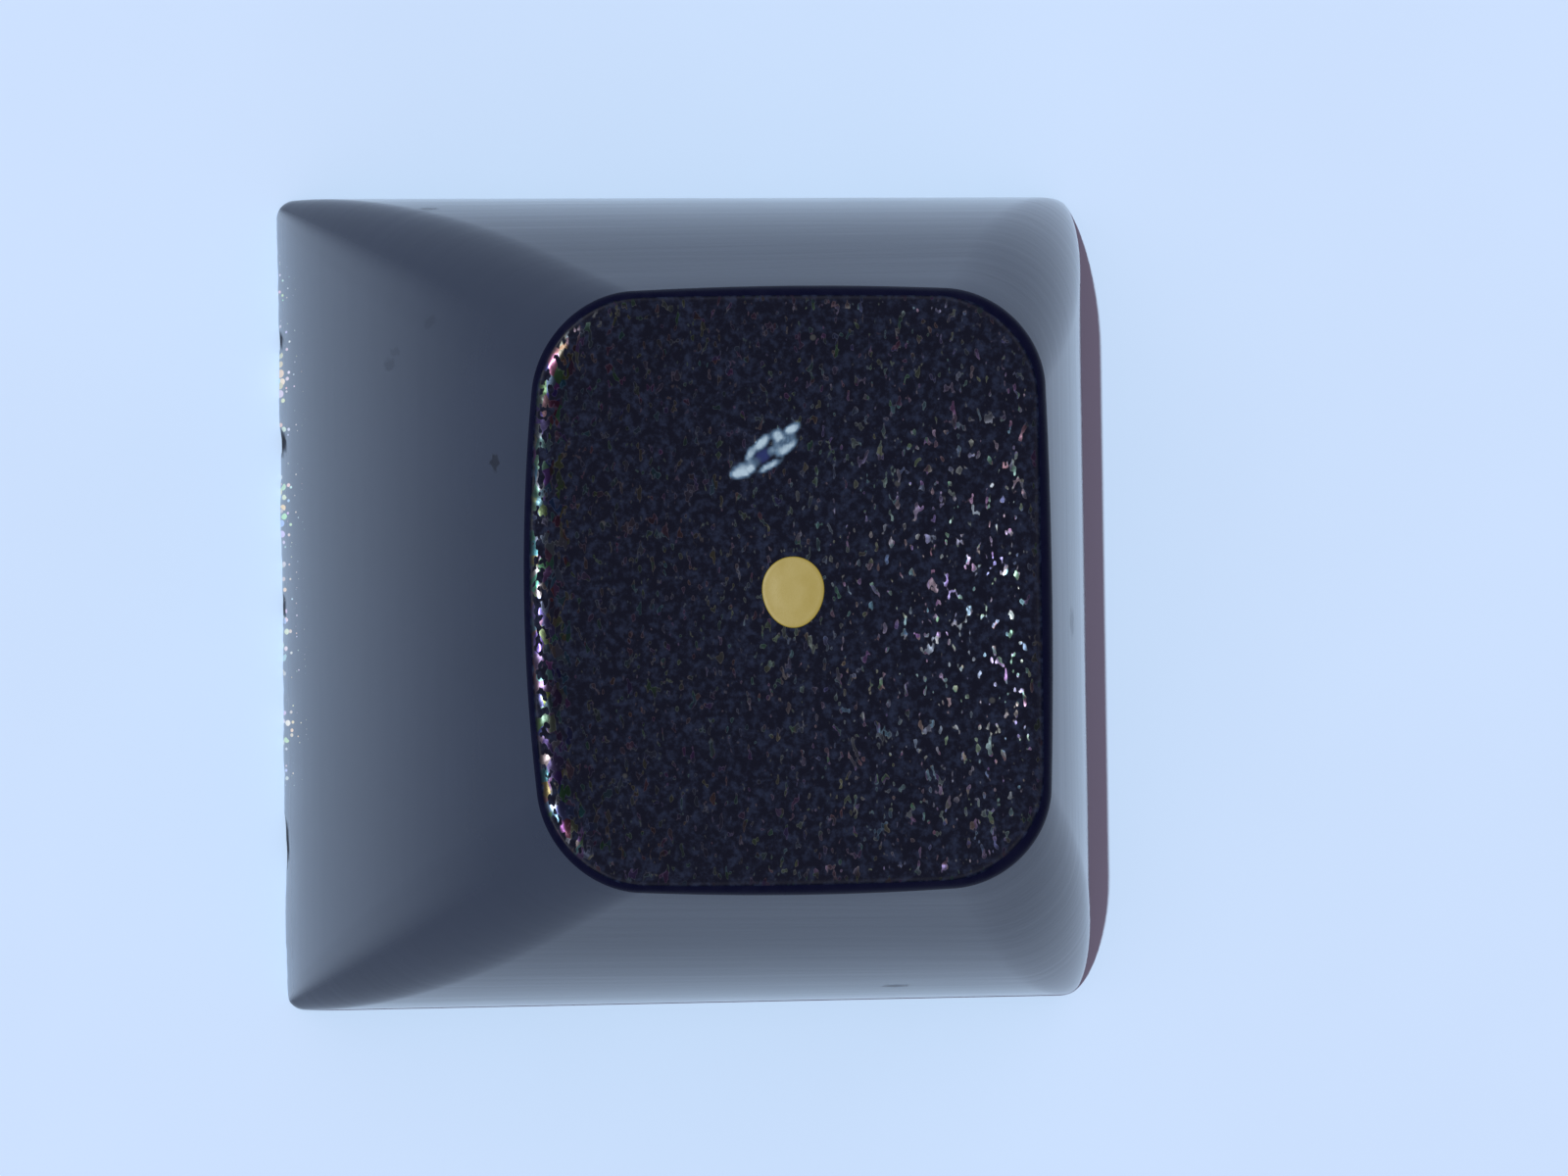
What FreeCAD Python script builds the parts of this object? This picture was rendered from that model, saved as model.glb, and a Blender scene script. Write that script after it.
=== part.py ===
import FreeCAD, Part
import Sketcher

import math
import os

# A one-unit sculpted keycap: a thin moulded shell with a spherically dished top, a round stem with a
# cross socket underneath, four short ribs from the stem to the walls, and an oval dot set flush in the top.
# +X is the typist's right, +Y the back of the keyboard and +Z up. The skirt's rim lies in the plane Z = 0.

# Driving dimensions, in millimetres and degrees
DIMENSIONS = {
    "base_width": 18.2,  # skirt, left to right
    "base_depth": 18.2,  # skirt, front to back
    "base_corner": 0.4,  # corner radius at the skirt
    "waist_corner": 1.9,  # corner radius half-way up
    "cap_height": 10.2,  # middle of the top plane, which the dish is cut from
    "top_width": 12.4,  # top outline, left to right
    "top_depth": 10.46,  # top outline, front to back
    "top_corner": 2.15,  # corner radius of the top outline
    "top_setback": 1.065,  # the top stands this far behind the skirt's middle
    "top_tilt": 3.0,  # the top leans towards the typist
    "side_bulge": 0.6,  # each side wall swells this far out of a straight taper, half-way up
    "front_bulge": 0.6,
    "back_bulge": 0.5,
    "dish_depth": 0.95,  # middle of the dish, below the top plane
    "dish_overrun": 0.6,  # the dish meets the top plane this far outside the top's corners
    "rim_round": 0.45,  # round between the dish and the walls
    "wall": 1.3,  # side walls, measured level
    "roof": 1.5,  # top wall, the same all over
    "core_corner": 0.7,  # corner radius inside the shell
    "stem_wall": 0.7,  # wall of the round stem at the ends of the cross
    "stem_recess": 0.6,  # the stem's end, above the skirt's rim
    "stem_lead": 0.25,  # lead-in chamfer round the stem's end and the socket's mouth
    "socket_length": 4.1,  # both arms of the cross, end to end
    "socket_arm_across": 1.17,  # thickness of the arm that runs left to right
    "socket_arm_along": 1.31,  # thickness of the arm that runs front to back
    "socket_depth": 4.0,
    "rib_thickness": 0.9,
    "rib_drop": 1.35,  # depth of the ribs below the middle of the roof
    "dot_diameter": 1.36,  # front to back, and the round ends of the oval
    "dot_stretch": 0.26,  # straight part of the oval, left to right
    "dot_fill": 0.4,  # depth of the dot's recess below the dish
}

# Sizes that follow from the driving dimensions
TOP_REACH = (
    "(sqrt((dims.top_width / 2 - dims.top_corner)^2 + (dims.top_depth / 2 - dims.top_corner)^2)"
    " + dims.top_corner + dims.dish_overrun)"
)
DISH_RADIUS = f"(({TOP_REACH}^2 + dims.dish_depth^2) / (2 * dims.dish_depth))"
FRONT_RUN = "((dims.base_depth - dims.top_depth) / 2 + dims.top_setback)"
BACK_RUN = "((dims.base_depth - dims.top_depth) / 2 - dims.top_setback)"
WAIST_FRONT = f"((dims.base_depth - {FRONT_RUN}) / 2 + dims.front_bulge)"
WAIST_BACK = f"((dims.base_depth - {BACK_RUN}) / 2 + dims.back_bulge)"
WAIST_WIDTH = "((dims.base_width + dims.top_width) / 2 + 2 * dims.side_bulge)"
WAIST_DEPTH = f"({WAIST_FRONT} + {WAIST_BACK})"
WAIST_SETBACK = f"(({WAIST_BACK} - {WAIST_FRONT}) / 2)"
STEM_DIAMETER = "(dims.socket_length + 2 * dims.stem_wall)"
STEM_LEAD = "min(dims.stem_lead; 0.4 * dims.stem_wall)"
RIB_FLOOR = "(dims.cap_height - dims.dish_depth - dims.roof - dims.rib_drop)"

doc = FreeCAD.newDocument("keycap")
sheet = doc.addObject("Spreadsheet::Sheet", "dims")
for row, (alias, value) in enumerate(DIMENSIONS.items(), start=1):
    sheet.set(f"A{row}", alias)
    sheet.set(f"B{row}", str(value))
    sheet.setAlias(f"B{row}", alias)
doc.recompute()


def size_of(expression):
    """The number that an expression on the sheet's values gives."""
    return float(sheet.evalExpression(expression.replace("dims.", "")))


def level_sketch(body, name, height, setback="0", tilt="0"):
    """A sketch on the body's XY plane, raised to a height, moved back and leant towards the front."""
    sketch = body.newObject("Sketcher::SketchObject", name)
    ground = next(plane for plane in body.Origin.OriginFeatures if plane.Role == "XY_Plane")
    sketch.AttachmentSupport = [(ground, "")]
    sketch.MapMode = "FlatFace"
    lean = FreeCAD.Rotation(FreeCAD.Vector(1, 0, 0), size_of(tilt))
    place = FreeCAD.Vector(0, size_of(setback), size_of(height))
    sketch.AttachmentOffset = FreeCAD.Placement(place, lean)
    sketch.setExpression("AttachmentOffset.Base.y", setback)
    sketch.setExpression("AttachmentOffset.Base.z", height)
    sketch.setExpression("AttachmentOffset.Rotation.Angle", tilt)
    return sketch


def top_sketch(body, name):
    """A sketch on the leaning top plane, centred on the top."""
    return level_sketch(body, name, "dims.cap_height", "dims.top_setback", "dims.top_tilt")


def drive(sketch, kind, *references, size):
    """Adds a dimension to a sketch and binds it to an expression on the sheet's values."""
    index = sketch.addConstraint(Sketcher.Constraint(kind, *references, size_of(size)))
    sketch.setExpression(f"Constraints[{index}]", size)


def add_line(sketch, start, end):
    return sketch.addGeometry(Part.LineSegment(FreeCAD.Vector(*start, 0), FreeCAD.Vector(*end, 0)))


def add_arc(sketch, centre, radius, first, last):
    circle = Part.Circle(FreeCAD.Vector(*centre, 0), FreeCAD.Vector(0, 0, 1), radius)
    return sketch.addGeometry(Part.ArcOfCircle(circle, math.radians(first), math.radians(last)))


def square_sides(sketch, sides):
    """Makes four sides, taken front, right, back and left, level or upright and centred on the origin."""
    sketch.addConstraint(Sketcher.Constraint("Symmetric", sides[0], 1, sides[0], 2, -2))
    sketch.addConstraint(Sketcher.Constraint("Symmetric", sides[1], 1, sides[1], 2, -1))
    sketch.addConstraint(Sketcher.Constraint("Horizontal", sides[2]))
    sketch.addConstraint(Sketcher.Constraint("Vertical", sides[3]))


def rectangle(sketch, width, depth):
    """Four straight sides, centred on the sketch's origin."""
    x, y = size_of(width) / 2, size_of(depth) / 2
    corners = [(-x, -y), (x, -y), (x, y), (-x, y)]
    sides = [add_line(sketch, corners[i], corners[(i + 1) % 4]) for i in range(4)]
    for i in range(4):
        sketch.addConstraint(Sketcher.Constraint("Coincident", sides[i], 2, sides[(i + 1) % 4], 1))
    square_sides(sketch, sides)
    drive(sketch, "DistanceX", sides[0], 1, sides[0], 2, size=width)
    drive(sketch, "DistanceY", sides[1], 1, sides[1], 2, size=depth)


def rounded_rectangle(sketch, width, depth, corner):
    """Four straight sides joined by four equal corner arcs, centred on the sketch's origin."""
    x, y, radius = size_of(width) / 2, size_of(depth) / 2, size_of(corner)
    a, b = x - radius, y - radius
    sides = [
        add_line(sketch, (-a, -y), (a, -y)),
        add_line(sketch, (x, -b), (x, b)),
        add_line(sketch, (a, y), (-a, y)),
        add_line(sketch, (-x, b), (-x, -b)),
    ]
    centres = [(a, -b), (a, b), (-a, b), (-a, -b)]
    arcs = [
        add_arc(sketch, centre, radius, 90 * turn - 90, 90 * turn)
        for turn, centre in enumerate(centres)
    ]
    for i in range(4):
        sketch.addConstraint(Sketcher.Constraint("Tangent", sides[i], 2, arcs[i], 1))
        sketch.addConstraint(Sketcher.Constraint("Tangent", arcs[i], 2, sides[(i + 1) % 4], 1))
    for arc in arcs[1:]:
        sketch.addConstraint(Sketcher.Constraint("Equal", arcs[0], arc))
    square_sides(sketch, sides)
    drive(sketch, "DistanceX", sides[3], 1, sides[1], 1, size=width)
    drive(sketch, "DistanceY", sides[0], 1, sides[2], 1, size=depth)
    drive(sketch, "Radius", arcs[0], size=corner)


def oval(sketch, diameter, stretch):
    """Two half-circles joined by two straight sides that run left to right, centred on the origin."""
    radius, a = size_of(diameter) / 2, size_of(stretch) / 2
    front = add_line(sketch, (-a, -radius), (a, -radius))
    right = add_arc(sketch, (a, 0), radius, -90, 90)
    back = add_line(sketch, (a, radius), (-a, radius))
    left = add_arc(sketch, (-a, 0), radius, 90, 270)
    ring = [front, right, back, left]
    for i in range(4):
        sketch.addConstraint(Sketcher.Constraint("Tangent", ring[i], 2, ring[(i + 1) % 4], 1))
    sketch.addConstraint(Sketcher.Constraint("Horizontal", front))
    sketch.addConstraint(Sketcher.Constraint("Equal", right, left))
    sketch.addConstraint(Sketcher.Constraint("Symmetric", right, 3, left, 3, -1, 1))
    drive(sketch, "DistanceX", left, 3, right, 3, size=stretch)
    drive(sketch, "Radius", right, size=f"{diameter} / 2")


def loft_shell(body, inset, corners):
    """A smooth loft through the skirt, waist and top outlines, each taken in by the inset."""
    skirt = level_sketch(body, f"{body.Name}_skirt", "0")
    rounded_rectangle(skirt, f"dims.base_width - 2 * {inset}", f"dims.base_depth - 2 * {inset}", corners[0])
    waist = level_sketch(
        body, f"{body.Name}_waist", "dims.cap_height / 2", WAIST_SETBACK, "dims.top_tilt / 2"
    )
    rounded_rectangle(waist, f"{WAIST_WIDTH} - 2 * {inset}", f"{WAIST_DEPTH} - 2 * {inset}", corners[1])
    top = top_sketch(body, f"{body.Name}_top")
    rounded_rectangle(top, f"dims.top_width - 2 * {inset}", f"dims.top_depth - 2 * {inset}", corners[2])
    loft = body.newObject("PartDesign::AdditiveLoft", f"{body.Name}_walls")
    loft.Profile = skirt
    loft.Sections = [waist, top]
    doc.recompute()
    return top


def cut_with_ball(body, top, radius):
    """Cuts a body with a ball centred above the top, on the top plane's own axis, as the dish is."""
    ball = body.newObject("PartDesign::SubtractiveSphere", f"{body.Name}_ball")
    ball.AttachmentSupport = [(top, "")]
    ball.MapMode = "ObjectXY"
    # The ball lies on its side, so that neither its poles nor its seam fall inside the cut
    ball.AttachmentOffset = FreeCAD.Placement(
        FreeCAD.Vector(), FreeCAD.Rotation(FreeCAD.Vector(1, 0, 0), 90)
    )
    ball.setExpression("AttachmentOffset.Base.z", f"{DISH_RADIUS} - dims.dish_depth")
    ball.setExpression("Radius", radius)
    doc.recompute()


def edges_of(face, shape):
    """The names that a face's edges have in its shape."""
    return [
        f"Edge{i}"
        for i, edge in enumerate(shape.Edges, start=1)
        if any(edge.isSame(other) for other in face.Edges)
    ]


def outer_form():
    """The cap as a solid block: tapering walls, the dish, its rounded rim and the dot's recess."""
    body = doc.addObject("PartDesign::Body", "outer_form")
    top = loft_shell(body, "0", ["dims.base_corner", "dims.waist_corner", "dims.top_corner"])
    cut_with_ball(body, top, DISH_RADIUS)
    dished = body.Tip
    dish = next(face for face in dished.Shape.Faces if isinstance(face.Surface, Part.Sphere))
    rim = body.newObject("PartDesign::Fillet", "rim")
    rim.Base = (dished, edges_of(dish, dished.Shape))
    rim.setExpression("Radius", "dims.rim_round")
    doc.recompute()
    outline = top_sketch(body, "dot_recess_outline")
    oval(outline, "dims.dot_diameter", "dims.dot_stretch")
    recess = body.newObject("PartDesign::Pocket", "dot_recess")
    recess.Profile = outline
    recess.setExpression("Length", "dims.dish_depth + dims.dot_fill")
    doc.recompute()
    return body


def core_form():
    """The space inside the walls, up to a roof that runs parallel to the dish."""
    body = doc.addObject("PartDesign::Body", "core_form")
    top = loft_shell(body, "dims.wall", ["dims.core_corner"] * 3)
    cut_with_ball(body, top, f"{DISH_RADIUS} + dims.roof")
    return body


def stem_form():
    """The round stem and the crossed ribs, both run up past the roof, with the cross socket in the stem."""
    body = doc.addObject("PartDesign::Body", "stem_form")
    post_outline = level_sketch(body, "post_outline", "dims.stem_recess")
    circle = Part.Circle(FreeCAD.Vector(), FreeCAD.Vector(0, 0, 1), size_of(STEM_DIAMETER) / 2)
    ring = post_outline.addGeometry(circle)
    post_outline.addConstraint(Sketcher.Constraint("Coincident", ring, 3, -1, 1))
    drive(post_outline, "Radius", ring, size=f"{STEM_DIAMETER} / 2")
    post = body.newObject("PartDesign::Pad", "post")
    post.Profile = post_outline
    post.setExpression("Length", "dims.cap_height - dims.stem_recess")
    doc.recompute()
    ribs = {
        "rib_across": ("dims.base_width", "dims.rib_thickness"),
        "rib_along": ("dims.rib_thickness", "dims.base_depth"),
    }
    for name, (width, depth) in ribs.items():
        outline = level_sketch(body, f"{name}_outline", RIB_FLOOR)
        rectangle(outline, width, depth)
        rib = body.newObject("PartDesign::Pad", name)
        rib.Profile = outline
        rib.setExpression("Length", f"dims.cap_height - {RIB_FLOOR}")
        doc.recompute()
    arms = {
        "socket_across": ("dims.socket_length", "dims.socket_arm_across"),
        "socket_along": ("dims.socket_arm_along", "dims.socket_length"),
    }
    for name, (width, depth) in arms.items():
        outline = level_sketch(body, f"{name}_outline", "dims.stem_recess")
        rectangle(outline, width, depth)
        arm = body.newObject("PartDesign::Pocket", name)
        arm.Profile = outline
        arm.Reversed = True
        arm.setExpression("Length", "dims.socket_depth")
        doc.recompute()
    socketed = body.Tip
    stem_end = min(socketed.Shape.Faces, key=lambda face: face.CenterOfMass.z)
    lead = body.newObject("PartDesign::Chamfer", "stem_lead_in")
    lead.Base = (socketed, edges_of(stem_end, socketed.Shape))
    lead.setExpression("Size", STEM_LEAD)
    doc.recompute()
    return body


def dot_inlay():
    """The dot: fills its recess and ends flush with the dish."""
    body = doc.addObject("PartDesign::Body", "dot_inlay")
    outline = top_sketch(body, "dot_outline")
    oval(outline, "dims.dot_diameter", "dims.dot_stretch")
    fill = body.newObject("PartDesign::Pad", "dot_fill")
    fill.Profile = outline
    fill.Reversed = True
    fill.setExpression("Length", "dims.dish_depth + dims.dot_fill")
    doc.recompute()
    cut_with_ball(body, outline, DISH_RADIUS)
    return body


def keycap():
    """The moulding: the outer form less the core, which itself leaves the stem and the ribs standing."""
    hollow = doc.addObject("Part::Cut", "hollow")
    hollow.Base = core_form()
    hollow.Tool = stem_form()
    cap = doc.addObject("Part::Cut", "keycap_shell")
    cap.Label = "keycap"
    cap.Base = outer_form()
    cap.Tool = hollow
    doc.recompute()
    return cap


pieces = [keycap(), dot_inlay()]
doc.recompute()

for item in doc.Objects:
    if "Invalid" in item.State or "Error" in item.State:
        raise RuntimeError(f"{item.Label} failed: {item.State}")
for piece in pieces:
    if piece.Shape.isNull() or not piece.Shape.isValid():
        raise RuntimeError(f"{piece.Label} has no valid shape")

os.makedirs("parts", exist_ok=True)
for piece in pieces:
    piece.Shape.exportStep(f"parts/{piece.Label}.step")
    box = piece.Shape.BoundBox
    print(
        f"{piece.Label}: {len(piece.Shape.Solids)} solid, {piece.Shape.Volume:.2f} mm3,"
        f" {box.XLength:.2f} x {box.YLength:.2f} x {box.ZLength:.2f} mm"
    )
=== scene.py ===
import bmesh
import bpy
import math
from mathutils import Matrix, Vector, noise


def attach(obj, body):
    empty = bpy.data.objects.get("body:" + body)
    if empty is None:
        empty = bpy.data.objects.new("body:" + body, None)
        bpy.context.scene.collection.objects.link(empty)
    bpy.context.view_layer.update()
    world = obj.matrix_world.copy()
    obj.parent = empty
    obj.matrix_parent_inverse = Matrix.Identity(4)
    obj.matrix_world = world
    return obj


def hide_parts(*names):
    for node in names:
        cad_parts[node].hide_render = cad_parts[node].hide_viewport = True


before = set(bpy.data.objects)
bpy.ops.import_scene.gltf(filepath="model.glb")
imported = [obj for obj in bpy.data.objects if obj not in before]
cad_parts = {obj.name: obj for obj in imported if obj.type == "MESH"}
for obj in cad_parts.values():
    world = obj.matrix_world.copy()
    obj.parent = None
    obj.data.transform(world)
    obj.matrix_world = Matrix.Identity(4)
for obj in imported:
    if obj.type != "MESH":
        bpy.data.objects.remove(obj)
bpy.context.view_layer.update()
scene = bpy.context.scene
mm = 0.001
print("frame loaded")


# Shared node helpers

def newMaterial(name):
    material = bpy.data.materials.new(name)
    material.use_nodes = True
    return material, material.node_tree, material.node_tree.nodes["Principled BSDF"]


def addNode(tree, kind, inputs=None, **settings):
    node = tree.nodes.new(kind)
    for key, value in settings.items():
        setattr(node, key, value)
    for key, value in (inputs or {}).items():
        if isinstance(value, bpy.types.NodeSocket):
            tree.links.new(value, node.inputs[key])
        else:
            node.inputs[key].default_value = value
    return node


def mathNode(tree, operation, first, second=0.0, third=0.0):
    node = addNode(tree, "ShaderNodeMath", {0: first, 1: second, 2: third}, operation=operation)
    return node.outputs[0]


def mixColor(tree, factor, first, second, blend="MIX"):
    inputs = {0: factor, 6: first, 7: second}
    return addNode(tree, "ShaderNodeMix", inputs, data_type="RGBA", blend_type=blend).outputs[2]


def mixValue(tree, factor, first, second):
    return addNode(tree, "ShaderNodeMix", {0: factor, 2: first, 3: second}).outputs[0]


def spread(tree, value, low, high, toLow=0.0, toHigh=1.0):
    inputs = {"Value": value, "From Min": low, "From Max": high, "To Min": toLow, "To Max": toHigh}
    return addNode(tree, "ShaderNodeMapRange", inputs, interpolation_type="SMOOTHSTEP").outputs["Result"]


def attribute(tree, name):
    return addNode(tree, "ShaderNodeAttribute", attribute_name=name).outputs["Fac"]


def objectPlace(tree):
    return tree.nodes.new("ShaderNodeTexCoord").outputs["Object"]


# Camera, light and floor

studio = {
    "cameraPlace": (3.021, -20.436, 147.52),  # mm
    "cameraTarget": (-0.257, 2.345, 0.0),
    "cameraRoll": -0.829,  # degrees
    "lens": 150.71,
    "sunLean": (-3.8, -16.5),  # degrees off the vertical, along X and Y
    "sunStrength": 2.8,
    "sunSpread": 0.7,  # degrees
    "fillColor": (1.0, 0.36, 0.26),
    "fillStrength": 0.8,
    "fillSpread": 170.0,
    "sideColor": (0.32, 0.33, 0.42, 1.0),  # the sky near the floor
    "skyColor": (0.09, 0.10, 0.15, 1.0),  # and overhead
    "skyRise": 0.75,  # how high it takes its overhead colour
    "floorSize": 4.0,  # metres
    "floorColor": (0.50, 0.703, 0.909),
    "floorShades": (0.97, 1.03),  # how far slow clouds vary it
    "cloudScale": 90.0,
    "floorRoughness": 0.9,
    "floorGloss": 0.1,
}


def makeCamera():
    camera = bpy.data.objects.new("camera", bpy.data.cameras.new("camera"))
    scene.collection.objects.link(camera)
    place = Vector(studio["cameraPlace"]) * mm
    ahead = (Vector(studio["cameraTarget"]) * mm - place).normalized()
    right = ahead.cross(Vector((-1.0, 0.0, 0.0))).normalized()  # the picture's top is the cap's left
    up = right.cross(ahead)
    turn = Matrix((right, up, -ahead)).transposed().to_4x4()
    roll = Matrix.Rotation(math.radians(studio["cameraRoll"]), 4, "Z")
    camera.matrix_world = Matrix.Translation(place) @ turn @ roll
    camera.data.sensor_width = 36.0
    camera.data.lens = studio["lens"]
    camera.data.clip_start = 0.001
    camera.data.clip_end = 20.0
    scene.camera = camera


def makeLamp(name, lean, strength, spreadAngle):
    lamp = bpy.data.objects.new(name, bpy.data.lights.new(name, "SUN"))
    scene.collection.objects.link(lamp)
    leanX, leanY = (math.tan(math.radians(angle)) for angle in lean)
    towards = Vector((leanX, leanY, 1.0)).normalized()
    lamp.rotation_mode = "QUATERNION"
    lamp.rotation_quaternion = towards.to_track_quat("Z", "Y")
    lamp.location = towards * 0.5
    lamp.data.energy = strength
    lamp.data.angle = math.radians(spreadAngle)
    return lamp


def makeLight():
    makeLamp("sun", studio["sunLean"], studio["sunStrength"], studio["sunSpread"])
    fill = makeLamp("fill", (0.0, 0.0), studio["fillStrength"], studio["fillSpread"])
    fill.data.color = studio["fillColor"]
    fill.visible_glossy = False
    world = bpy.data.worlds.new("sky")
    world.use_nodes = True
    scene.world = world
    tree = world.node_tree
    place = tree.nodes.new("ShaderNodeTexCoord").outputs["Generated"]
    rise = addNode(tree, "ShaderNodeSeparateXYZ", {"Vector": place}).outputs["Z"]
    overhead = spread(tree, rise, 0.0, studio["skyRise"])
    color = mixColor(tree, overhead, studio["sideColor"], studio["skyColor"])
    tree.links.new(color, tree.nodes["Background"].inputs["Color"])
    scene.view_settings.view_transform = "Standard"


def makeFloor():
    bm = bmesh.new()
    bmesh.ops.create_grid(bm, x_segments=1, y_segments=1, size=studio["floorSize"] / 2)
    mesh = bpy.data.meshes.new("floor")
    bm.to_mesh(mesh)
    bm.free()
    floor = bpy.data.objects.new("floor", mesh)
    scene.collection.objects.link(floor)
    material, tree, shader = newMaterial("paleFloor")
    inputs = {"Vector": objectPlace(tree), "Scale": studio["cloudScale"], "Detail": 3.0}
    cloud = addNode(tree, "ShaderNodeTexNoise", inputs).outputs["Fac"]
    shades = [(*(part * shade for part in studio["floorColor"]), 1.0) for shade in studio["floorShades"]]
    tree.links.new(mixColor(tree, cloud, *shades), shader.inputs["Base Color"])
    shader.inputs["Roughness"].default_value = studio["floorRoughness"]
    shader.inputs["Specular IOR Level"].default_value = studio["floorGloss"]
    mesh.materials.append(material)


makeCamera()
makeLight()
print("camera and light set")
makeFloor()
print("floor laid")


# The cap, in mm: an outer skin over the underside that the CAD node has

cap = {
    "sections": (  # width, depth, corner, set back, height, lean in degrees
        (18.2, 18.2, 0.4, 0.0, 0.0, 0.0),
        (16.5, 15.43, 1.9, 0.4825, 5.1, 1.5),
        (12.4, 10.46, 2.15, 1.065, 10.2, 3.0),
    ),
    "sideKnee": 0.72,  # share of the height above which the side walls run straight
    "dishDepth": 0.95,
    "dishRadius": 32.81,
    "rimRound": 0.45,
    "rimEase": 1.6,  # the round runs this much further on to the dish than down the wall
    "grainStart": (0.38, 0.10),  # how far over the rim the grain begins, and how much later at the back
    "grainRun": 0.2,
    "footRound": 0.06,
    "footFlare": 0.03,  # slope taken off the walls at their foot
    "footRise": 4.0,
    "frontWall": (0.8, 0.98),  # headings between which a corner becomes the front wall
    "frontRim": (0.5, 0.9),
    "recessFloor": -1.35,  # below the top plane
    "columns": 620,
    "footRows": 3,
    "lowRows": (0.06, 0.2, 0.36, 0.54, 0.76, 1.02, 1.34),  # heights of the close rows over the worn edge
    "wallRows": 12,
    "rimRows": 14,
    "dishRows": 94,
    "sharpAngle": 35.0,
}
grain = {
    "pitch": (0.16, 0.13),  # along X and Y
    "height": 0.0056,
    "rimHeight": 0.010,
    "rimReach": 0.5,
    "fine": (2.1, 0.35),  # the finer grain: how many times closer, how many times as high
    "dotFade": 0.1,
}
scuff = {
    "center": (-2.976, -0.544),  # on the top plane
    "turn": 128.5,  # degrees from +X
    "reach": (1.15, 0.55),
    "lumps": (  # along, across, half sizes, turn in degrees, how pale its painted reflection is, which also sets its lip
        (0.722, 0.027, 0.168, 0.092, -17.0, 1.00),
        (0.390, 0.093, 0.141, 0.136, -42.0, 0.80),
        (0.547, -0.086, 0.168, 0.136, -2.0, 0.36),
        (0.385, -0.232, 0.239, 0.081, -1.0, 0.82),
        (0.235, -0.127, 0.136, 0.168, -2.0, 0.50),
        (0.023, 0.193, 0.212, 0.098, 8.0, 0.95),
        (-0.315, 0.163, 0.174, 0.081, 24.0, 0.78),
        (0.071, -0.073, 0.087, 0.092, -42.0, 0.46),
        (-0.150, -0.290, 0.266, 0.073, -11.0, 0.80),
        (-0.650, -0.013, 0.250, 0.152, -20.0, 0.72),
        (-0.760, -0.013, 0.179, 0.087, -22.0, 1.00),
        (-0.516, -0.087, 0.109, 0.071, -2.0, 0.85),
        (-0.345, -0.040, 0.136, 0.114, -12.0, 0.30),
    ),
    "lumpEdge": (0.4, 1.45),  # where a lump begins to fade and where it ends
    "core": (-0.135, -0.030, 0.21, 0.16),  # the hollow, painted blue as a reflection: along, across, half sizes
    "coreEdge": (0.5, 1.15),
    "ragged": (0.22, 9.0),  # how far and how finely the outlines wander
    "streaks": 0.28,  # how far fine streaks vary the lumps
    "streakPitch": (7.0, 26.0),
    "lip": 0.016,  # how far the lumps stand up
    "groove": 0.010,
}
frontEdge = {
    "height": 0.75,  # the worn strip along the front of the skirt
    "hazeHeight": 9.0,
    "haze": 0.27,
    "ragged": (0.045, 0.02),  # coarse and fine waves of the edge
    "pitch": (1.3, 0.33),
    "wavesIn": 0.2,  # how much more the waves cut in than they leave
    "nicks": (  # place along X, half the length, height, how dark its painted shade is
        (-5.93, 0.18, 0.36, 0.8),
        (-3.65, 0.27, 0.46, 1.0),
        (0.04, 0.34, 0.30, 0.75),
        (5.31, 0.64, 0.26, 0.9),
    ),
    "nickEdge": (0.7, 1.1),
    "nickDepth": 0.025,
    "specks": (-8.6, -5.8, 3.2, 5.2),  # where along X the painted glints begin and end
    "speckHeight": 0.6,
    "speckPitch": 1.3,
    "speckGroups": (-0.5, 0.2),
}
dot = {
    "halfSize": (0.765, 0.67),
    "shift": 0.04,  # towards the right
    "egg": 0.07,  # narrower towards the right-hand end
    "crown": 0.012,
    "crownRun": 0.6,
    "edgeRound": 0.03,
    "columns": 96,
    "roundRows": 4,
    "faceRows": 10,
    "sharpAngle": 50.0,
}


def smoothStep(low, high, value):
    share = min(max((value - low) / (high - low), 0.0), 1.0)
    return share * share * (3.0 - 2.0 * share)


def wander(x, y, layer):
    # smooth noise, from a layer of its own for each use
    return noise.noise(Vector((x, y, layer)))


def sectionFrame(section):
    lean = Matrix.Rotation(math.radians(section[5]), 4, "X")
    return Matrix.Translation((0.0, section[3], section[4])) @ lean


topSize = cap["sections"][2][:3]
capHeight = cap["sections"][2][4]
topFrame = sectionFrame(cap["sections"][2])
topInverse = topFrame.inverted()
topUp = topFrame.to_3x3() @ Vector((0.0, 0.0, 1.0))


def outlinePoint(share, width, depth, corner):
    # the same share of the way round falls on the same straight or corner of each section
    frontRun, sideRun = topSize[0] - 2 * topSize[2], topSize[1] - 2 * topSize[2]
    cornerRun = topSize[2] * math.pi / 2
    left = (share % 1.0) * 2 * (frontRun + sideRun + 2 * cornerRun)
    for quarter in range(4):
        run = sideRun if quarter % 2 else frontRun
        reach = (width if quarter % 2 else depth) / 2
        along = (depth if quarter % 2 else width) / 2 - corner
        if left <= run:
            spot = Vector((along * (2 * left / run - 1), -reach))
            break
        left -= run
        if left <= cornerRun:
            angle = left / cornerRun * math.pi / 2
            spot = Vector((along + corner * math.sin(angle), corner - reach - corner * math.cos(angle)))
            break
        left -= cornerRun
    spot.rotate(Matrix.Rotation(quarter * math.pi / 2, 2))
    return spot


def dishHeight(x, y):
    radius = cap["dishRadius"]
    return radius - cap["dishDepth"] - math.sqrt(radius * radius - x * x - y * y)


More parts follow.
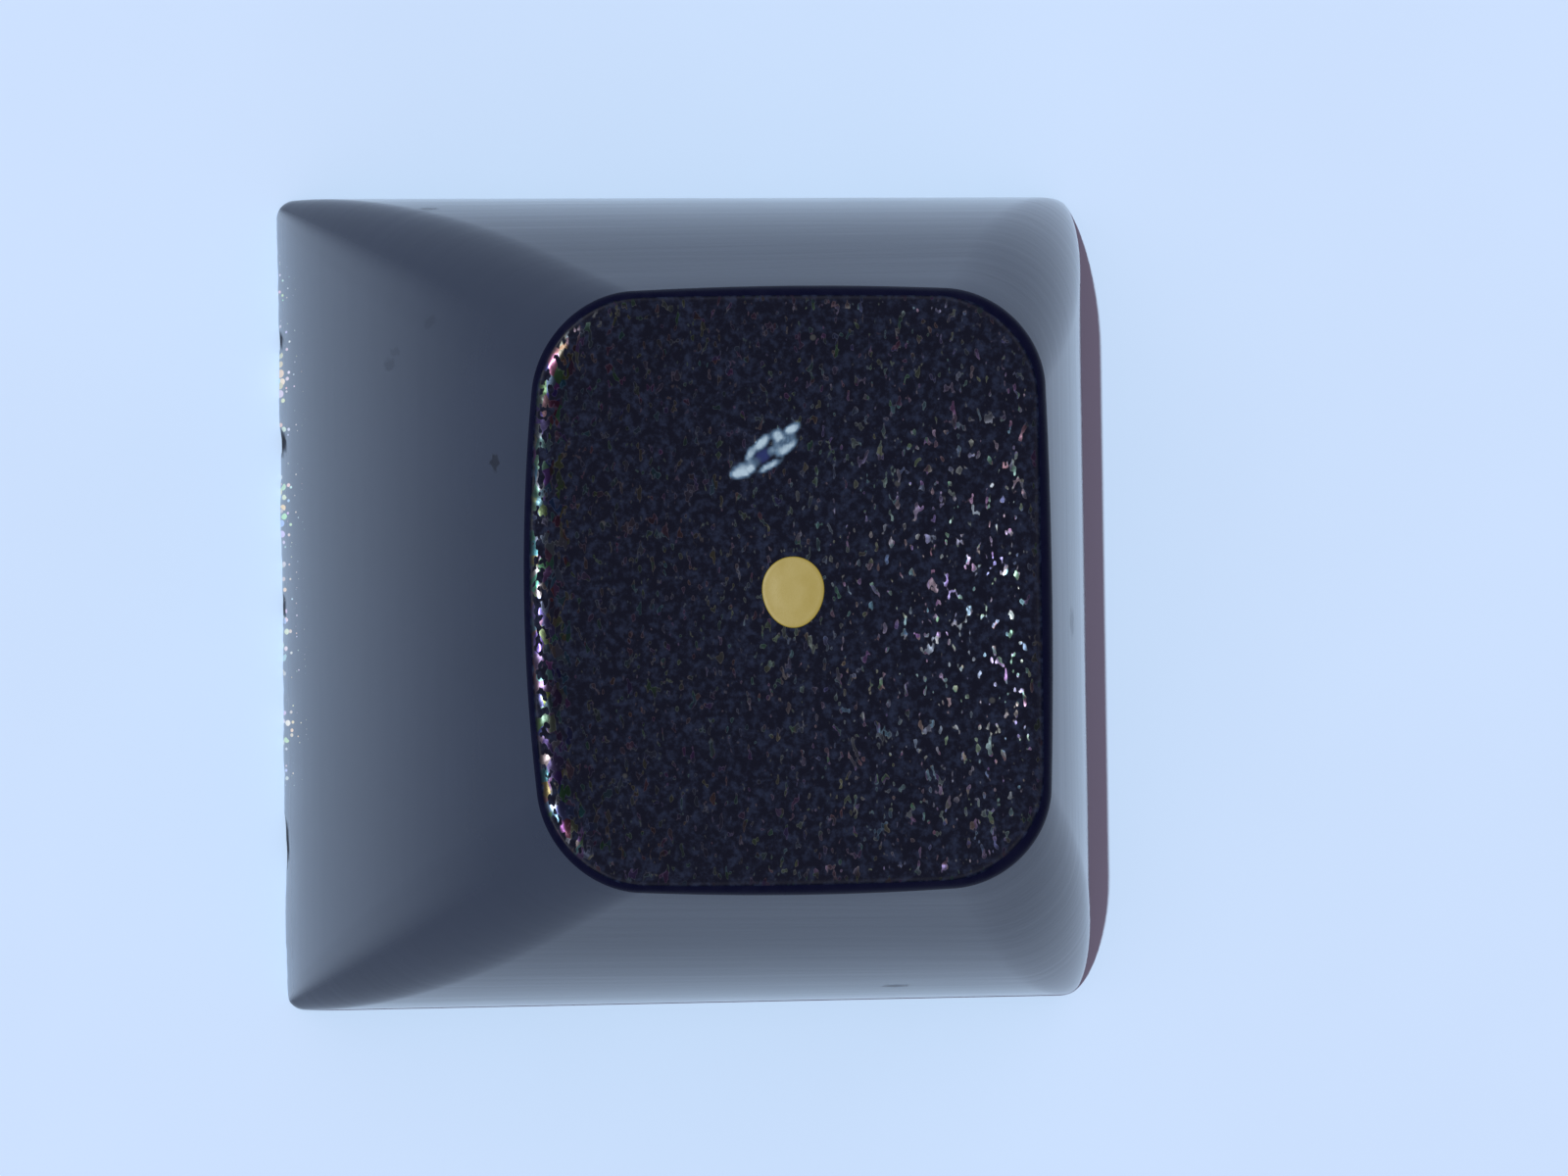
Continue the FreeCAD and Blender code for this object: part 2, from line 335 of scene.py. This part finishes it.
def dotEdge(angle):
    across, along = dot["halfSize"]
    reach = 1.0 / math.hypot(math.cos(angle) / across, math.sin(angle) / along)
    reach *= 1.0 - dot["egg"] * math.cos(angle) * math.sin(angle) ** 2
    return Vector((reach * math.cos(angle) + dot["shift"], reach * math.sin(angle)))


def scuffHere(x, y):
    # how pale, how deep blue and how high the scuff makes the top at this place; the pale and the blue are
    # painted reflection on its lips and in its hollow
    angle = math.radians(scuff["turn"])
    dx, dy = x - scuff["center"][0], y - scuff["center"][1]
    along = dx * math.cos(angle) + dy * math.sin(angle)
    across = dy * math.cos(angle) - dx * math.sin(angle)
    if abs(along) > scuff["reach"][0] or abs(across) > scuff["reach"][1]:
        return 0.0, 0.0, 0.0
    far, fine = scuff["ragged"]
    ragged = far * wander(x * fine, y * fine, 3.0)
    pale = 0.0
    for place, side, length, width, turn, strength in scuff["lumps"]:
        lean = math.radians(turn)
        u = (along - place) * math.cos(lean) + (across - side) * math.sin(lean)
        v = (across - side) * math.cos(lean) - (along - place) * math.sin(lean)
        lump = strength * (1.0 - smoothStep(*scuff["lumpEdge"], math.hypot(u / length, v / width) + ragged))
        pale += lump * (1.0 - pale)
    pitchAlong, pitchAcross = scuff["streakPitch"]
    pale *= 1.0 + scuff["streaks"] * wander(along * pitchAlong, across * pitchAcross, 6.0)
    place, side, length, width = scuff["core"]
    inCore = math.hypot((along - place) / length, (across - side) / width) + ragged
    deep = 1.0 - smoothStep(*scuff["coreEdge"], inCore)
    return pale, deep * (1.0 - pale), scuff["lip"] * pale - scuff["groove"] * deep * (1.0 - pale)


def grainHeight(x, y, rimShare):
    pitchX, pitchY = grain["pitch"]
    closer, lower = grain["fine"]
    coarse = wander(x / pitchX, y / pitchY, 1.7)
    fine = wander(x / pitchX * closer, y / pitchY * closer, 9.2)
    height = grain["height"] + (grain["rimHeight"] - grain["height"]) * rimShare
    return height * (coarse + lower * fine)


# the dark slits in the front edge: a shallow nick, darkened with painted shade
def nickAndShadeHere(x, z):
    dark = 0.0
    for place, reach, height, depth in frontEdge["nicks"]:
        away = math.hypot((x - place) / reach, z / height)
        dark = max(dark, depth * (1.0 - smoothStep(*frontEdge["nickEdge"], away)))
    return dark


def frontShape(x, z):
    # how far back the wear takes the skirt's front at this place
    coarse, fine = frontEdge["pitch"]
    waves = frontEdge["ragged"][0] * (frontEdge["wavesIn"] + wander(x / coarse, z / coarse, 5.0))
    waves += frontEdge["ragged"][1] * (frontEdge["wavesIn"] + wander(x / fine, z / fine, 2.0))
    return max(waves, 0.0) * math.exp(-z / frontEdge["height"]) + frontEdge["nickDepth"] * nickAndShadeHere(x, z)


def frontHaze(x, z):
    haze = frontEdge["haze"] * (1.0 - smoothStep(0.0, frontEdge["hazeHeight"], z))
    haze += (1.0 - frontEdge["haze"]) * math.exp(-z / frontEdge["height"])
    return haze * (1.0 - nickAndShadeHere(x, z))


# painted glints along the worn front edge: how strong at this place
def glintSpecksHere(x, z):
    start, full, fade, end = frontEdge["specks"]
    groups = smoothStep(*frontEdge["speckGroups"], wander(x * frontEdge["speckPitch"], 4.0, 7.0))
    run = smoothStep(start, full, x) * (1.0 - smoothStep(fade, end, x))
    return run * groups * math.exp(-z / frontEdge["speckHeight"]) * (1.0 - nickAndShadeHere(x, z))


class Column:
    # one upright line of the skin, from the skirt to the dot
    def __init__(self, share):
        self.feet = [sectionFrame(s) @ outlinePoint(share, *s[:3]).to_3d() for s in cap["sections"]]
        nearby = 0.0005
        heading = outlinePoint(share + nearby, *topSize) - outlinePoint(share - nearby, *topSize)
        heading.normalize()
        self.outward = Vector((heading.y, -heading.x))
        self.front = smoothStep(*cap["frontWall"], heading.x)  # 1 on the front wall
        self.frontRim = smoothStep(*cap["frontRim"], heading.x)
        self.knee = 1.0 - (1.0 - cap["sideKnee"]) * self.outward.x ** 2
        low, high = 0.8, 1.0  # the wall meets the dish between these shares of the height
        for halving in range(40):
            rise = (low + high) / 2
            spot = topInverse @ self.wall(rise)
            low, high = (low, rise) if spot.z > dishHeight(spot.x, spot.y) else (rise, high)
        self.edge = self.wall(rise)
        spot = topInverse @ self.edge
        self.outer = spot.xy
        self.inner = dotEdge(math.atan2(spot.y, spot.x))
        self.run = (self.outer - self.inner).length
        wallStep, dishStep = 0.02, 0.2
        climb = self.edge - self.wall(rise - wallStep)
        inward = self.dish(dishStep / self.run) - self.edge
        setBack = cap["rimRound"] * math.tan(climb.angle(inward) / 2)
        self.wallEnd = rise - setBack / climb.length * wallStep
        self.dishStart = setBack * cap["rimEase"] / self.run
        self.sharp = math.cos(climb.angle(inward) / 2)

    def wall(self, rise):
        low, middle, high = self.feet
        fullest = 4.0 / (2.0 - self.knee) ** 2
        if rise > self.knee:
            swell = fullest * (1 - rise)
        else:
            swell = fullest * (rise * (2 / self.knee - 1) - (rise / self.knee) ** 2)
        return low.lerp(high, rise) + (middle - (low + high) / 2) * swell

    def skirt(self, rise):
        # the wall, a little more upright at its foot, with the wear along its front edge, the painted glints
        # there and the painted shade in its slits
        spot = self.wall(rise)
        low = max(1.0 - spot.z / cap["footRise"], 0.0)
        spot.xy += self.outward * cap["footFlare"] * spot.z * low * low
        back = self.front * frontShape(spot.x, spot.z)
        edgeMarks = [self.front * find(spot.x, spot.z) for find in (frontHaze, glintSpecksHere, nickAndShadeHere)]
        return spot + Vector((0.0, back, 0.0)), edgeMarks

    def foot(self, share):
        # small round between the skirt's side and its flat rim
        radius = cap["footRound"]
        angle = share * math.pi / 2
        height = radius * (1 - math.cos(angle))
        spot, edgeMarks = self.skirt(height / capHeight)
        inset = radius * (1 - math.sin(angle))
        spot -= Vector((spot.x, spot.y, 0.0)).normalized() * inset
        spot.z = height
        return spot, edgeMarks

    def rim(self, share):
        start, end = self.wall(self.wallEnd), self.dish(self.dishStart)
        first, middle, last = (1 - share) ** 2, 2 * self.sharp * share * (1 - share), share ** 2
        spot = (start * first + self.edge * middle + end * last) / (first + middle + last)
        grainStart = cap["grainStart"][0] + cap["grainStart"][1] * self.outward.y
        rough = smoothStep(grainStart, grainStart + cap["grainRun"], share)
        place = topInverse @ spot
        return spot + topUp * grainHeight(place.x, place.y, share) * rough, rough

    def dish(self, share):
        x, y = self.outer.lerp(self.inner, share)
        return topFrame @ Vector((x, y, dishHeight(x, y)))

    def top(self, share):
        # the dish with its grain and the scuff
        share = self.dishStart + (1 - self.dishStart) * share
        x, y = self.outer.lerp(self.inner, share)
        height = dishHeight(x, y)
        fade = smoothStep(0.0, grain["dotFade"], (1 - share) * self.run)
        pale, deep, lift = scuffHere(x, y)
        rimShare = 1.0 - smoothStep(0.0, grain["rimReach"], (share - self.dishStart) * self.run)
        lift += grainHeight(x, y, rimShare) * fade
        normal = Vector((-x, -y, cap["dishRadius"] - cap["dishDepth"] - height)).normalized()
        return topFrame @ (Vector((x, y, height)) + normal * lift), rimShare * self.frontRim, pale, deep

    def recess(self):
        return topFrame @ Vector((*self.inner, cap["recessFloor"]))


def undersideFromCad(bm):
    bm.from_mesh(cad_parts["keycap"].data)
    bmesh.ops.remove_doubles(bm, verts=bm.verts, dist=0.0001 * mm)
    flat = [face for face in bm.faces if max(vert.co.z for vert in face.verts) < 0.001 * mm]
    bmesh.ops.delete(bm, geom=flat, context="FACES")
    # what still hangs together with the highest point is the outside, which the skin replaces
    waiting = [max(bm.verts, key=lambda vert: vert.co.z)]
    outside = set(waiting)
    while waiting:
        vert = waiting.pop()
        for edge in vert.link_edges:
            other = edge.other_vert(vert)
            if other not in outside:
                outside.add(other)
                waiting.append(other)
    bmesh.ops.delete(bm, geom=list(outside), context="VERTS")


def makeCapSkin(bm):
    names = ("topGrain", "rimGlint", "rimShadeBand", "scuffPaleReflection", "scuffHollowReflection", "edgeWear", "edgeGlintSpeck", "edgeNickShade")
    layers = {name: bm.verts.layers.float.new(name) for name in names}
    columns = cap["columns"]
    rows = [("foot", step / cap["footRows"]) for step in range(cap["footRows"])]
    rows += [("skirt", height) for height in cap["lowRows"]]
    rows += [("wall", (step + 1) / (cap["wallRows"] + 1)) for step in range(cap["wallRows"])]
    rows += [("rim", step / cap["rimRows"]) for step in range(cap["rimRows"])]
    rows += [("top", step / cap["dishRows"]) for step in range(cap["dishRows"] + 1)]
    rows += [("recess", 1.0)]
    made = bmesh.ops.create_grid(bm, x_segments=columns, y_segments=len(rows) - 1, size=1.0)["verts"]
    lines = [Column(index / columns) for index in range(columns)]
    wallStart = cap["lowRows"][-1] / capHeight
    unmarked = (0.0, 0.0, 0.0)
    for vert in made:
        line = lines[round((vert.co.x + 1) / 2 * columns) % columns]
        name, share = rows[round((vert.co.y + 1) / 2 * (len(rows) - 1))]
        edgeMarks = unmarked
        if name == "foot":
            spot, edgeMarks = line.foot(share)
            if share == 0.0:
                edgeMarks = unmarked  # this row also bounds the flat rim
        elif name == "skirt":
            spot, edgeMarks = line.skirt(share / capHeight)
        elif name == "wall":
            spot, edgeMarks = line.skirt(wallStart + (line.wallEnd - wallStart) * share)
        elif name == "rim":
            spot, vert[layers["topGrain"]] = line.rim(share)
            vert[layers["rimGlint"]] = line.frontRim
            # rim rows take the rim material, whose darker colour is painted shade
            vert[layers["rimShadeBand"]] = 1.0
        elif name == "top":
            spot, glint, pale, deep = line.top(share)
            vert[layers["rimGlint"]] = glint
            vert[layers["scuffPaleReflection"]] = pale
            vert[layers["scuffHollowReflection"]] = deep
            vert[layers["topGrain"]] = 1.0
        else:
            spot = line.recess()
        vert[layers["edgeWear"]], vert[layers["edgeGlintSpeck"]], vert[layers["edgeNickShade"]] = edgeMarks
        vert.co = spot * mm
    bmesh.ops.remove_doubles(bm, verts=made, dist=0.0005 * mm)
    return layers["topGrain"], layers["rimShadeBand"]


def closeCap(bm):
    # the recess floor, and the flat rim between the skin's foot and the underside
    openEdges = [edge for edge in bm.edges if edge.is_boundary]
    floorEdges = [edge for edge in openEdges if edge.verts[0].co.z > 5 * mm]
    rimEdges = [edge for edge in openEdges if edge.verts[0].co.z < 1 * mm]
    bmesh.ops.edgeloop_fill(bm, edges=floorEdges)
    bmesh.ops.triangle_fill(bm, edges=rimEdges, use_beauty=True, normal=(0.0, 0.0, -1.0))
    for edge in rimEdges:
        edge.smooth = False


def finishMesh(bm, name, nodeName, sharpAngle):
    bmesh.ops.recalc_face_normals(bm, faces=bm.faces)
    for face in bm.faces:
        face.smooth = True
    for edge in bm.edges:
        if edge.is_manifold and edge.calc_face_angle() > math.radians(sharpAngle):
            edge.smooth = False
    openCount = sum(1 for edge in bm.edges if not edge.is_manifold)
    mesh = bpy.data.meshes.new(name)
    bm.to_mesh(mesh)
    bm.free()
    piece = bpy.data.objects.new(name, mesh)
    scene.collection.objects.link(piece)
    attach(piece, "root")
    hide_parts(nodeName)
    print(name, len(mesh.vertices), "vertices", openCount, "open edges")
    return piece


def makeCap():
    bm = bmesh.new()
    undersideFromCad(bm)
    onTop, onRim = makeCapSkin(bm)
    for face in bm.faces:
        if all(vert[onTop] > 0.0 for vert in face.verts):
            face.material_index = 1
        # faces on the rim round take the rim material, whose darker colour is painted shade
        elif all(vert[onRim] > 0.0 for vert in face.verts):
            face.material_index = 2
    closeCap(bm)
    return finishMesh(bm, "capMoulding", "keycap", cap["sharpAngle"])


def makeDot():
    bm = bmesh.new()
    columns, roundRows, faceRows = dot["columns"], dot["roundRows"], dot["faceRows"]
    lastRow = 1 + roundRows + faceRows
    made = bmesh.ops.create_grid(bm, x_segments=columns, y_segments=lastRow, size=1.0)["verts"]
    radius = dot["edgeRound"]
    for vert in made:
        edge = dotEdge((vert.co.x + 1) * math.pi)
        row = round((vert.co.y + 1) / 2 * lastRow)
        inset = 0.0
        if row == 0:
            height = cap["recessFloor"]
        elif row <= 1 + roundRows:  # up the side and round its edge
            angle = (row - 1) / roundRows * math.pi / 2
            inset = radius * (1 - math.cos(angle))
            height = dishHeight(*edge) - radius * (1 - math.sin(angle))
        else:
            share = (row - 1 - roundRows) / faceRows
            inset = radius + (edge.length - radius) * share
            spot = edge.normalized() * (edge.length - inset)
            height = dishHeight(*spot) + dot["crown"] * smoothStep(0.0, dot["crownRun"], share)
        spot = edge.normalized() * (edge.length - inset)
        vert.co = topFrame @ Vector((spot.x, spot.y, height)) * mm
    bmesh.ops.remove_doubles(bm, verts=made, dist=0.0005 * mm)
    bmesh.ops.edgeloop_fill(bm, edges=[edge for edge in bm.edges if edge.is_boundary])
    return finishMesh(bm, "dotFill", "dot_inlay", dot["sharpAngle"])


capPiece = makeCap()
dotPiece = makeDot()


# Finishes

moulded = {
    "inputs": ("Grain Scale", "Mottle Scale", "Dust Scale", "Dust Amount"),
    "grain": {"Detail": 2.0, "Roughness": 0.55},
    "mottle": {"Detail": 4.0, "Roughness": 0.6},
    "dustSize": (0.05, 0.11),
    "mottleRange": (0.3, 0.7),
}
wallFinish = {
    "skin": {"Grain Scale": 9000.0, "Mottle Scale": 350.0, "Dust Scale": 900.0, "Dust Amount": 0.06},
    "color": (0.0050, 0.0100, 0.0265, 1.0),
    "paleColor": (0.0085, 0.0152, 0.0385, 1.0),
    "dustColor": (0.03, 0.032, 0.040, 1.0),
    "roughness": (0.07, 0.12),
    "streakScale": (130.0, 130.0, 2600.0),  # faint level lines in the walls
    "streakDepth": 0.0000058,
    "grainShare": 0.22,  # fine skin texture beside the level lines
    "hazeColor": (0.26, 0.35, 0.43, 1.0),
    "edgeRoughness": 0.30,
    "wornRange": (0.3, 0.8),
    "speckGlintColor": (0.86, 0.86, 0.88, 1.0),
    "speckTint": 0.5,
    "speckStretch": (1.0, 1.0, 0.42),
    "speckScale": 6000.0,
    "speckSize": 0.84,
    "speckPick": (0.18, 0.55),  # which of the painted glints are small and which full size
    "speckEdge": (0.0, 0.12),
    "marks": (  # place, half sizes, how dark
        ((-5.833, -6.237, 6.694), (0.2, 0.28, 0.28), 0.32),
        ((-4.985, -7.009, 5.328), (0.18, 0.28, 0.28), 0.4),
        ((-5.249, -6.898, 5.543), (0.13, 0.26, 0.26), 0.3),
        ((-2.678, -5.068, 8.612), (0.25, 0.13, 0.22), 1.0),
        ((-8.594, -5.899, 3.688), (0.3, 0.36, 0.26), 0.35),
        ((8.675, 4.316, 3.527), (0.3, 0.52, 0.25), 0.5),
        ((0.831, 7.508, 7.507), (0.5, 0.3, 0.6), 0.3),
    ),
    "markColor": (0.0010, 0.0045, 0.0150, 1.0),
    "markRoughness": 0.62,
    "markEdge": 0.5,
    "markRagged": 0.00022,
    "raggedScale": 7000.0,
    "nickRoughness": 0.85,
}
topFinish = {
    "skin": {"Grain Scale": 9000.0, "Mottle Scale": 5600.0, "Dust Scale": 1300.0, "Dust Amount": 0.16},
    "color": (0.0001, 0.0012, 0.0088, 1.0),
    "paleColor": (0.0085, 0.0155, 0.0375, 1.0),
    "paleRange": (0.42, 0.74),
    "dustColor": (0.030, 0.036, 0.040, 1.0),
    "roughness": 0.95,
    "rimRoughness": 0.10,
    "gloss": 0.25,
    "bumpDepth": 0.0000012,
    "glintRoughness": 0.23,
    "glintMetal": 0.8,
    "glintColor": (0.025, 0.027, 0.040, 1.0),
    "glintTint": (0.068, 0.075, 0.090, 1.0),
    "tintShare": (0.34, 0.6),  # on the top and on the front of its rim
    "tintScale": 5200.0,
    "glintStretch": (0.6, 1.0, 1.0),
    "glintScale": 7600.0,
    "glintAmount": (0.592, 0.672),
    "rimGlints": 0.17,
    "scuffReflectionColor": (0.32, 0.48, 0.57, 1.0),
    "scuffRange": (0.35, 1.0),
    "scuffMidReflectionColor": (0.062, 0.125, 0.20, 1.0),
    "scuffMidRange": (0.0, 0.5),
    "scuffHollowReflectionColor": (0.014, 0.026, 0.105, 1.0),
}
# the rim round: smooth black plastic, painted darker than the walls as shade for the dark sky it reflects
rimFinishAndShade = {
    "skin": {"Grain Scale": 9000.0, "Mottle Scale": 2600.0, "Dust Scale": 900.0, "Dust Amount": 0.0},
    "color": (0.0012, 0.0020, 0.0125, 1.0),
    "paleColor": (0.0028, 0.0040, 0.0180, 1.0),
    "roughness": (0.25, 0.4),
    "gloss": 0.1,
}
dotFinish = {
    "skin": {"Grain Scale": 14000.0, "Mottle Scale": 1800.0, "Dust Scale": 2600.0, "Dust Amount": 0.04},
    "color": (0.279, 0.245, 0.0405, 1.0),
    "deepColor": (0.251, 0.214, 0.033, 1.0),
    "dustColor": (0.12, 0.10, 0.06, 1.0),
    "roughness": (0.42, 0.55),
    "bumpDepth": 0.0000008,
}


def makeFinishGroup():
    # moulded plastic: fine skin texture, slow mottling and sparse dust, for any piece
    group = bpy.data.node_groups.new("mouldedFinish", "ShaderNodeTree")
    sockets = group.interface
    sockets.new_socket("Vector", in_out="INPUT", socket_type="NodeSocketVector")
    for name in moulded["inputs"]:
        sockets.new_socket(name, in_out="INPUT", socket_type="NodeSocketFloat")
    for name in ("Grain", "Mottle", "Dust"):
        sockets.new_socket(name, in_out="OUTPUT", socket_type="NodeSocketFloat")
    given = group.nodes.new("NodeGroupInput").outputs
    result = group.nodes.new("NodeGroupOutput").inputs
    grainInputs = {"Vector": given["Vector"], "Scale": given["Grain Scale"], **moulded["grain"]}
    mottleInputs = {"Vector": given["Vector"], "Scale": given["Mottle Scale"], **moulded["mottle"]}
    dustInputs = {"Vector": given["Vector"], "Scale": given["Dust Scale"], "Randomness": 1.0}
    fine = addNode(group, "ShaderNodeTexNoise", grainInputs).outputs["Fac"]
    mottle = addNode(group, "ShaderNodeTexNoise", mottleInputs).outputs["Fac"]
    cells = addNode(group, "ShaderNodeTexVoronoi", dustInputs).outputs
    speck = spread(group, cells["Distance"], *moulded["dustSize"], 1.0, 0.0)
    pick = addNode(group, "ShaderNodeSeparateColor", {"Color": cells["Color"]}).outputs[0]
    chosen = mathNode(group, "LESS_THAN", pick, given["Dust Amount"])
    group.links.new(fine, result["Grain"])
    group.links.new(mottle, result["Mottle"])
    group.links.new(mathNode(group, "MULTIPLY", speck, chosen), result["Dust"])
    return group


finishGroup = makeFinishGroup()


def placeFinish(tree, values):
    inputs = {"Vector": objectPlace(tree), **values}
    return addNode(tree, "ShaderNodeGroup", inputs, node_tree=finishGroup).outputs


def addBump(tree, shader, height, depth):
    inputs = {"Height": height, "Strength": 1.0, "Distance": depth}
    bump = addNode(tree, "ShaderNodeBump", inputs)
    tree.links.new(bump.outputs["Normal"], shader.inputs["Normal"])


def edgePaintedGlints(tree, where):
    # painted glints of several tints along the worn edge, seen as bright specks: how strong, and their colour
    inputs = {"Vector": where, "Scale": wallFinish["speckStretch"], "Rotation": (-math.pi / 2, 0.0, 0.0)}
    upright = addNode(tree, "ShaderNodeMapping", inputs).outputs[0]
    inputs = {"Vector": upright, "Scale": wallFinish["speckScale"]}
    cells = addNode(tree, "ShaderNodeTexVoronoi", inputs, voronoi_dimensions="2D").outputs
    pick = addNode(tree, "ShaderNodeSeparateColor", {"Color": cells["Color"]}).outputs[1]
    pick = spread(tree, pick, *wallFinish["speckPick"], 0.0, wallFinish["speckSize"])
    size = mathNode(tree, "MULTIPLY", pick, attribute(tree, "edgeGlintSpeck"))
    inside = mathNode(tree, "SUBTRACT", size, cells["Distance"])
    tint = mixColor(tree, wallFinish["speckTint"], wallFinish["speckGlintColor"], cells["Color"])
    return spread(tree, inside, *wallFinish["speckEdge"]), tint


def darkMarksAndSlitShade(tree, where, nickShade):
    # dark specks and smears at their places on the walls, and painted shade in the slits of the front edge
    inputs = {"Vector": where, "Scale": wallFinish["raggedScale"], "Detail": 1.0}
    stir = addNode(tree, "ShaderNodeTexNoise", inputs).outputs["Color"]
    inputs = {0: wallFinish["markRagged"], 4: where, 5: stir}
    stirred = addNode(tree, "ShaderNodeMix", inputs, data_type="VECTOR").outputs[1]
    marks = nickShade
    for place, reach, strength in wallFinish["marks"]:
        inputs = {"Vector": stirred, "Location": [c * mm for c in place], "Scale": [c * mm for c in reach]}
        around = addNode(tree, "ShaderNodeMapping", inputs, vector_type="TEXTURE").outputs[0]
        ball = addNode(tree, "ShaderNodeTexGradient", {"Vector": around}, gradient_type="SPHERICAL")
        mark = spread(tree, ball.outputs["Fac"], 0.0, wallFinish["markEdge"], 0.0, strength)
        marks = mathNode(tree, "MAXIMUM", marks, mark)
    return marks


def makeWallFinish():
    material, tree, shader = newMaterial("blackWalls")
    finish = placeFinish(tree, wallFinish["skin"])
    where = objectPlace(tree)
    worn = attribute(tree, "edgeWear")
    nickShade = attribute(tree, "edgeNickShade")
    paintedGlints, paintedGlintTint = edgePaintedGlints(tree, where)
    marks = darkMarksAndSlitShade(tree, where, nickShade)
    color = mixColor(tree, finish["Mottle"], wallFinish["color"], wallFinish["paleColor"])
    color = mixColor(tree, finish["Dust"], color, wallFinish["dustColor"])
    color = mixColor(tree, worn, color, wallFinish["hazeColor"])
    # painted glints along the worn edge
    color = mixColor(tree, paintedGlints, color, paintedGlintTint)
    # dark specks and smears, and painted shade in the front edge's slits
    color = mixColor(tree, marks, color, wallFinish["markColor"])
    tree.links.new(color, shader.inputs["Base Color"])
    rough = spread(tree, finish["Mottle"], *moulded["mottleRange"], *wallFinish["roughness"])
    rough = mixValue(tree, spread(tree, worn, *wallFinish["wornRange"]), rough, wallFinish["edgeRoughness"])
    rough = mixValue(tree, marks, rough, wallFinish["markRoughness"])
    rough = mixValue(tree, nickShade, rough, wallFinish["nickRoughness"])
    tree.links.new(rough, shader.inputs["Roughness"])
    inputs = {"Vector": where, "Scale": wallFinish["streakScale"]}
    drawn = addNode(tree, "ShaderNodeMapping", inputs).outputs[0]
    inputs = {"Vector": drawn, "Scale": 1.0, "Detail": 2.0}
    streaks = addNode(tree, "ShaderNodeTexNoise", inputs).outputs["Fac"]
    skin = mathNode(tree, "MULTIPLY_ADD", finish["Grain"], wallFinish["grainShare"], streaks)
    addBump(tree, shader, skin, wallFinish["streakDepth"])
    return material


def topGlints(tree, bare):
    # polished high points of the grain, which catch the light in several tints: how strong, and their colour
    inputs = {"Vector": objectPlace(tree), "Scale": topFinish["glintStretch"]}
    drawn = addNode(tree, "ShaderNodeMapping", inputs).outputs[0]
    inputs = {"Vector": drawn, "Scale": topFinish["glintScale"], "Detail": 1.0}
    points = addNode(tree, "ShaderNodeTexNoise", inputs).outputs["Fac"]
    onRim = attribute(tree, "rimGlint")
    points = mathNode(tree, "MULTIPLY_ADD", onRim, topFinish["rimGlints"], points)
    glints = mathNode(tree, "MULTIPLY", bare, spread(tree, points, *topFinish["glintAmount"]))
    inputs = {"Vector": drawn, "Scale": topFinish["tintScale"]}
    cells = addNode(tree, "ShaderNodeTexVoronoi", inputs).outputs["Color"]
    tinted = mixColor(tree, 1.0, cells, topFinish["glintTint"], "MULTIPLY")
    share = spread(tree, onRim, 0.0, 1.0, *topFinish["tintShare"])
    return glints, mixColor(tree, share, topFinish["glintColor"], tinted)


def makeTopFinish():
    material, tree, shader = newMaterial("blackGrain")
    shader.inputs["Specular IOR Level"].default_value = topFinish["gloss"]
    finish = placeFinish(tree, topFinish["skin"])
    onTop = attribute(tree, "topGrain")
    pale = attribute(tree, "scuffPaleReflection")
    deep = attribute(tree, "scuffHollowReflection")
    bare = mathNode(tree, "SUBTRACT", onTop, mathNode(tree, "MAXIMUM", pale, deep))
    glints, glintTint = topGlints(tree, bare)
    light = spread(tree, finish["Mottle"], *topFinish["paleRange"])
    color = mixColor(tree, light, topFinish["color"], topFinish["paleColor"])
    color = mixColor(tree, finish["Dust"], color, topFinish["dustColor"])
    color = mixColor(tree, glints, color, glintTint)
    # the scuff's blue hollow and pale lips: painted reflection on a scuffed spot
    color = mixColor(tree, deep, color, topFinish["scuffHollowReflectionColor"])
    color = mixColor(tree, spread(tree, pale, *topFinish["scuffMidRange"]), color, topFinish["scuffMidReflectionColor"])
    color = mixColor(tree, spread(tree, pale, *topFinish["scuffRange"]), color, topFinish["scuffReflectionColor"])
    tree.links.new(color, shader.inputs["Base Color"])
    metal = mathNode(tree, "MULTIPLY", glints, topFinish["glintMetal"])
    tree.links.new(metal, shader.inputs["Metallic"])
    rough = mixValue(tree, glints, topFinish["roughness"], topFinish["glintRoughness"])
    rough = mixValue(tree, onTop, topFinish["rimRoughness"], rough)
    tree.links.new(rough, shader.inputs["Roughness"])
    addBump(tree, shader, finish["Grain"], topFinish["bumpDepth"])
    return material


# the rim round's plastic, its darker colour painted shade
def makeRimFinishAndShade():
    material, tree, shader = newMaterial("blackRimShaded")
    shader.inputs["Specular IOR Level"].default_value = rimFinishAndShade["gloss"]
    finish = placeFinish(tree, rimFinishAndShade["skin"])
    color = mixColor(tree, finish["Mottle"], rimFinishAndShade["color"], rimFinishAndShade["paleColor"])
    tree.links.new(color, shader.inputs["Base Color"])
    rough = spread(tree, finish["Mottle"], *moulded["mottleRange"], *rimFinishAndShade["roughness"])
    tree.links.new(rough, shader.inputs["Roughness"])
    return material


def makeDotFinish():
    material, tree, shader = newMaterial("yellowFill")
    finish = placeFinish(tree, dotFinish["skin"])
    color = mixColor(tree, finish["Mottle"], dotFinish["color"], dotFinish["deepColor"])
    color = mixColor(tree, finish["Dust"], color, dotFinish["dustColor"])
    tree.links.new(color, shader.inputs["Base Color"])
    rough = spread(tree, finish["Mottle"], *moulded["mottleRange"], *dotFinish["roughness"])
    tree.links.new(rough, shader.inputs["Roughness"])
    addBump(tree, shader, finish["Grain"], dotFinish["bumpDepth"])
    return material


for makeFinish in (makeWallFinish, makeTopFinish, makeRimFinishAndShade):
    capPiece.data.materials.append(makeFinish())
dotPiece.data.materials.append(makeDotFinish())
print("finishes made")
